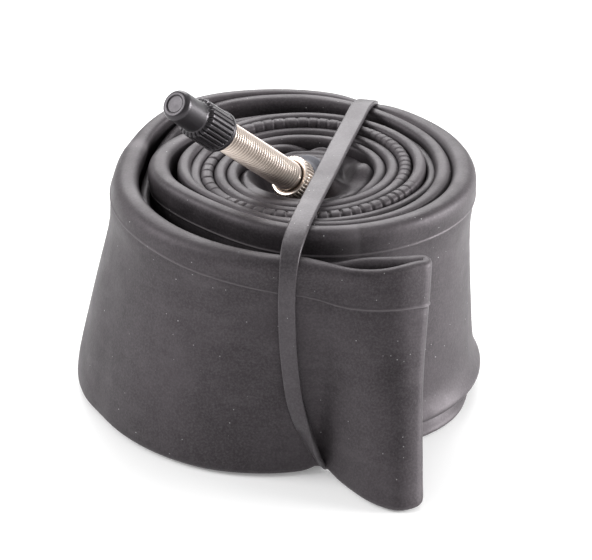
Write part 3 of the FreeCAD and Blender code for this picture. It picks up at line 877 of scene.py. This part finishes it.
def mix_colour(nodes, links, factor, first, second):
    """Blend two colours, each a tuple or another node's output."""
    mix = nodes.new("ShaderNodeMix")
    mix.data_type = "RGBA"
    links.new(factor, mix.inputs[0])
    for socket, colour in ((mix.inputs[6], first), (mix.inputs[7], second)):
        if isinstance(colour, tuple):
            socket.default_value = (*colour, 1.0)
        else:
            links.new(colour, socket)
    return mix.outputs[2]


def add_bump(nodes, links, shader, height, strength, distance, below=None):
    """Raise the surface slightly by a height value, on top of an earlier bump if there is one."""
    bump = nodes.new("ShaderNodeBump")
    bump.inputs["Strength"].default_value = strength
    bump.inputs["Distance"].default_value = distance
    links.new(height, bump.inputs["Height"])
    if below is not None:
        links.new(below, bump.inputs["Normal"])
    links.new(bump.outputs["Normal"], shader.inputs["Normal"])
    return bump.outputs["Normal"]


def talc_specks(nodes, links, cells, share, size):
    """A mask of small scattered specks: in a share of the cells, which are counted per metre."""
    cell = nodes.new("ShaderNodeTexVoronoi")
    cell.inputs["Scale"].default_value = 1.0
    links.new(texture_place(nodes, links, cells), cell.inputs["Vector"])
    near = ramp_node(nodes, links, cell.outputs["Distance"], size, size * 0.5)
    split = nodes.new("ShaderNodeSeparateColor")
    links.new(cell.outputs["Color"], split.inputs["Color"])
    chosen = ramp_node(nodes, links, split.outputs["Red"], 1 - share, 1 - share + 0.01)
    both = nodes.new("ShaderNodeMath")
    both.operation = "MULTIPLY"
    links.new(near, both.inputs[0])
    links.new(chosen, both.inputs[1])
    return both.outputs["Value"]


# (cells per metre, share of them with a speck, speck size in cells, grey tone)
SPECKS = ((330.0, 0.28, 0.05, 0.35), (150.0, 0.12, 0.026, 0.5), (800.0, 0.2, 0.1, 0.3))


def rubber_material(name, dark, light, talc_and_highlight, roughness, dust=0.5):
    """Moulded rubber: cloudy tone, faint talcum film, scattered specks, edges paler by rubbing and a
    painted highlight.
    """
    material, nodes, links, shader = new_material(name)
    cloud = ramp_node(nodes, links, noise_node(nodes, links, 55.0, 8.0, 0.72), 0.38, 0.66)
    base = mix_colour(nodes, links, cloud, dark, light)
    streak_noise = noise_node(nodes, links, 420.0, 4.0, 0.6, 5.0)
    streaks = ramp_node(nodes, links, streak_noise, 0.5, 0.75, 0.0, 0.3 * dust)
    base = mix_colour(nodes, links, streaks, base, talc_and_highlight)
    film_noise = noise_node(nodes, links, 2400.0, 4.0, 0.7)
    film = ramp_node(nodes, links, film_noise, 0.42, 0.85, 0.0, dust)
    base = mix_colour(nodes, links, film, base, talc_and_highlight)
    # paler where the mesh's value says: rubbing, splice marks, the mould line and a painted highlight along
    # the crests
    worn_and_lit = nodes.new("ShaderNodeAttribute")
    worn_and_lit.attribute_name = "wear"
    rub_and_highlight = ramp_node(nodes, links, worn_and_lit.outputs["Fac"], 0.0, 1.0, 0.0, 0.8)
    base = mix_colour(nodes, links, rub_and_highlight, base, talc_and_highlight)
    for cells, share, size, tone in SPECKS:
        specks = talc_specks(nodes, links, cells, share, size)
        base = mix_colour(nodes, links, specks, base, (tone, tone, tone))
    links.new(base, shader.inputs["Base Color"])
    shine = ramp_node(nodes, links, noise_node(nodes, links, 120.0, 4.0, 0.6), 0.3, 0.7,
                      roughness - 0.06, roughness + 0.08)
    links.new(shine, shader.inputs["Roughness"])
    shader.inputs["Specular IOR Level"].default_value = 0.4
    shader.inputs["Specular Tint"].default_value = (1.0, 0.9, 0.97, 1.0)
    first = add_bump(nodes, links, shader, noise_node(nodes, links, 260.0, 5.0, 0.6), 0.35, 0.00025)
    add_bump(nodes, links, shader, noise_node(nodes, links, 2600.0, 2.0, 0.5), 0.25, 0.00006, first)
    return material


def groove_shade(nodes, links, base, groove_shade_colour):
    """Painted shade: darken a colour down in a turned piece's grooves."""
    grooves = nodes.new("ShaderNodeAttribute")
    grooves.attribute_name = "wear"
    shade = ramp_node(nodes, links, grooves.outputs["Fac"], 0.15, 0.95)
    return mix_colour(nodes, links, shade, base, groove_shade_colour)


def metal_material(name, bright, dull, groove_shade_colour, roughness):
    """Plated or machined metal: slight tarnish, fine turning marks and painted shade in the grooves."""
    material, nodes, links, shader = new_material(name)
    tarnish = ramp_node(nodes, links, noise_node(nodes, links, 160.0, 6.0, 0.6), 0.3, 0.75)
    base = mix_colour(nodes, links, tarnish, bright, dull)
    # painted shade down in the thread and knurl grooves
    links.new(groove_shade(nodes, links, base, groove_shade_colour), shader.inputs["Base Color"])
    shader.inputs["Metallic"].default_value = 1.0
    shine = ramp_node(nodes, links, noise_node(nodes, links, 700.0, 3.0, 0.5), 0.3, 0.7,
                      roughness - 0.03, roughness + 0.07)
    links.new(shine, shader.inputs["Roughness"])
    add_bump(nodes, links, shader, noise_node(nodes, links, 5200.0, 2.0, 0.5), 0.05, 0.00001)
    return material


def plastic_material(name, dark, light, roughness):
    """Moulded plastic with a fine satin grain and painted shade in its grooves."""
    material, nodes, links, shader = new_material(name)
    cloud = ramp_node(nodes, links, noise_node(nodes, links, 300.0, 4.0, 0.6), 0.3, 0.7)
    base = mix_colour(nodes, links, cloud, dark, light)
    # near-black painted shade in the rib grooves
    links.new(groove_shade(nodes, links, base, (0.002, 0.002, 0.002)), shader.inputs["Base Color"])
    shader.inputs["Specular Tint"].default_value = (1.0, 0.93, 1.0, 1.0)
    shine = ramp_node(nodes, links, noise_node(nodes, links, 700.0, 3.0, 0.5), 0.3, 0.7,
                      roughness - 0.04, roughness + 0.06)
    links.new(shine, shader.inputs["Roughness"])
    add_bump(nodes, links, shader, noise_node(nodes, links, 5000.0, 2.0, 0.5), 0.15, 0.00004)
    return material


def paint(piece, material):
    """Give a piece one material."""
    piece.data.materials.clear()
    piece.data.materials.append(material)


BUTYL = rubber_material(
    "butyl_rubber", dark=(0.013, 0.011, 0.0122), light=(0.036, 0.0313, 0.0343), talc_and_highlight=(0.12, 0.11, 0.116),
    roughness=0.5, dust=0.42)
FOOT = rubber_material(
    "foot_rubber", dark=(0.085, 0.09, 0.105), light=(0.11, 0.116, 0.135), talc_and_highlight=(0.2, 0.205, 0.22),
    roughness=0.55)
BAND = rubber_material(
    "band_rubber", dark=(0.034, 0.0305, 0.033), light=(0.05, 0.0455, 0.049), talc_and_highlight=(0.13, 0.125, 0.13),
    roughness=0.38)
SEAL = rubber_material(
    "seal_rubber", dark=(0.02, 0.02, 0.021), light=(0.035, 0.035, 0.036), talc_and_highlight=(0.06, 0.06, 0.06),
    roughness=0.5, dust=0.2)
GASKET = rubber_material(
    "gasket_rubber", dark=(0.25, 0.02, 0.015), light=(0.33, 0.035, 0.025), talc_and_highlight=(0.4, 0.1, 0.08),
    roughness=0.5, dust=0.2)
NICKEL = metal_material(
    "nickel_plate", bright=(0.84, 0.745, 0.675), dull=(0.7, 0.6, 0.53), groove_shade_colour=(0.34, 0.27, 0.22),
    roughness=0.36)
BRASS = metal_material(
    "machined_brass", bright=(0.7, 0.55, 0.34), dull=(0.58, 0.44, 0.26), groove_shade_colour=(0.22, 0.14, 0.06),
    roughness=0.28)
CAP_PLASTIC = plastic_material(
    "cap_plastic", dark=(0.008, 0.0072, 0.008), light=(0.014, 0.013, 0.0142), roughness=0.34)

paint(make_tube_roll(), BUTYL)
paint(make_core(), BUTYL)
paint(make_foot(), FOOT)
paint(make_stem(), NICKEL)
paint(make_rim_nut(), NICKEL)
paint(make_cap(), CAP_PLASTIC)
paint(make_band(), BAND)
for node_name, node_material in (
    ("core_body", BRASS), ("valve_pin", BRASS), ("seal_cup", BRASS), ("lock_nut", BRASS),
    ("core_gasket", GASKET), ("pin_seal", SEAL),
):
    paint(frame["nodes"][node_name], node_material)

# ---- stage, light and camera --------------------------------------------------------------------


def make_floor():
    """Plain pale floor under the roll, faintly lit by itself so that it comes out white."""
    bpy.ops.mesh.primitive_plane_add(size=6.0, location=(0, 0, 0))
    floor = bpy.context.object
    floor.name = "floor"
    material, _, _, shader = new_material("floor_pale")
    shader.inputs["Base Color"].default_value = (0.9, 0.9, 0.9, 1)
    shader.inputs["Roughness"].default_value = 0.9
    shader.inputs["Emission Color"].default_value = (1, 1, 1, 1)
    shader.inputs["Emission Strength"].default_value = 0.18
    floor.data.materials.append(material)


LIGHT_AIM = Vector((0, 0, 0.03))


def area_light(name, place, width, power):
    """A square softbox that looks at the roll; its place and width are in metres."""
    lamp = bpy.data.lights.new(name, "AREA")
    lamp.size = width
    lamp.energy = power
    holder = bpy.data.objects.new(name, lamp)
    holder.location = place
    holder.rotation_euler = (LIGHT_AIM - Vector(place)).to_track_quat("-Z", "Y").to_euler()
    bpy.context.scene.collection.objects.link(holder)


def make_world(front, back):
    """Plain white surround, dimmer in front of the roll than behind it."""
    world = bpy.data.worlds.new("surround")
    bpy.context.scene.world = world
    world.use_nodes = True
    nodes, links = world.node_tree.nodes, world.node_tree.links
    direction = nodes.new("ShaderNodeTexCoord")
    split = nodes.new("ShaderNodeSeparateXYZ")
    links.new(direction.outputs["Generated"], split.inputs["Vector"])
    level = ramp_node(nodes, links, split.outputs["Y"], -0.6, 0.5, front, back)
    links.new(level, nodes["Background"].inputs["Strength"])
    nodes["Background"].inputs["Color"].default_value = (1, 1, 1, 1)


CAMERA_ELEVATION = 28.0
CAMERA_DISTANCE = 0.5
CAMERA_LENS = 158.0
CAMERA_AIM = Vector((0.0002, -0.0102, 0.0278))


def make_camera():
    """Long-lens camera in front, looking a little down."""
    lift = math.radians(CAMERA_ELEVATION)
    data = bpy.data.cameras.new("camera")
    data.lens = CAMERA_LENS
    data.sensor_width = 36.0
    data.clip_start = 0.01
    camera = bpy.data.objects.new("camera", data)
    camera.location = CAMERA_AIM + Vector((0, -math.cos(lift), math.sin(lift))) * CAMERA_DISTANCE
    camera.rotation_euler = (CAMERA_AIM - camera.location).to_track_quat("-Z", "Y").to_euler()
    bpy.context.scene.collection.objects.link(camera)
    bpy.context.scene.camera = camera


make_floor()
make_world(front=0.42, back=0.95)
area_light("back_softbox", (0.0, 0.75, 0.55), width=0.6, power=6.0)
area_light("left_softbox", (-0.7, -0.02, 0.44), width=0.4, power=4.6)
area_light("right_softbox", (0.75, 0.0, 0.14), width=0.4, power=12.0)
bpy.context.scene.view_settings.view_transform = "Standard"
make_camera()
